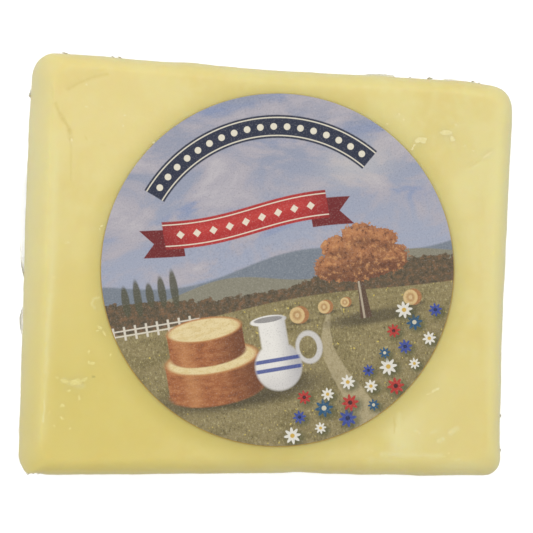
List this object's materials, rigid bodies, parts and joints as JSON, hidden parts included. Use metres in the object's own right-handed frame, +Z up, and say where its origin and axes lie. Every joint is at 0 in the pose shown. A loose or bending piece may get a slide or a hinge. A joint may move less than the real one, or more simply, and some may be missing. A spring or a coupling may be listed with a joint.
{
  "type": "vacuum-packed cheddar block",
  "caption": "Flat block of pale cheddar sealed in clear film, with softly rounded edges and a round printed label on its top face.",
  "frame": {"origin": "under the middle of the pack, on the flat underside that it lies on", "axes": "+X along the block's long side to the right of the label, +Y towards the block's back edge, +Z up through the label"},
  "size_m": [0.1086, 0.0926, 0.0235],
  "materials": {
    "filmed_cheddar": "pale yellow cheddar under tight clear film, soft gloss",
    "label_paper": "printed paper sticker, satin"
  },
  "bodies": {
    "root": {"cheese_pack": "filmed_cheddar", "label": "label_paper"}
  },
  "joints": []
}
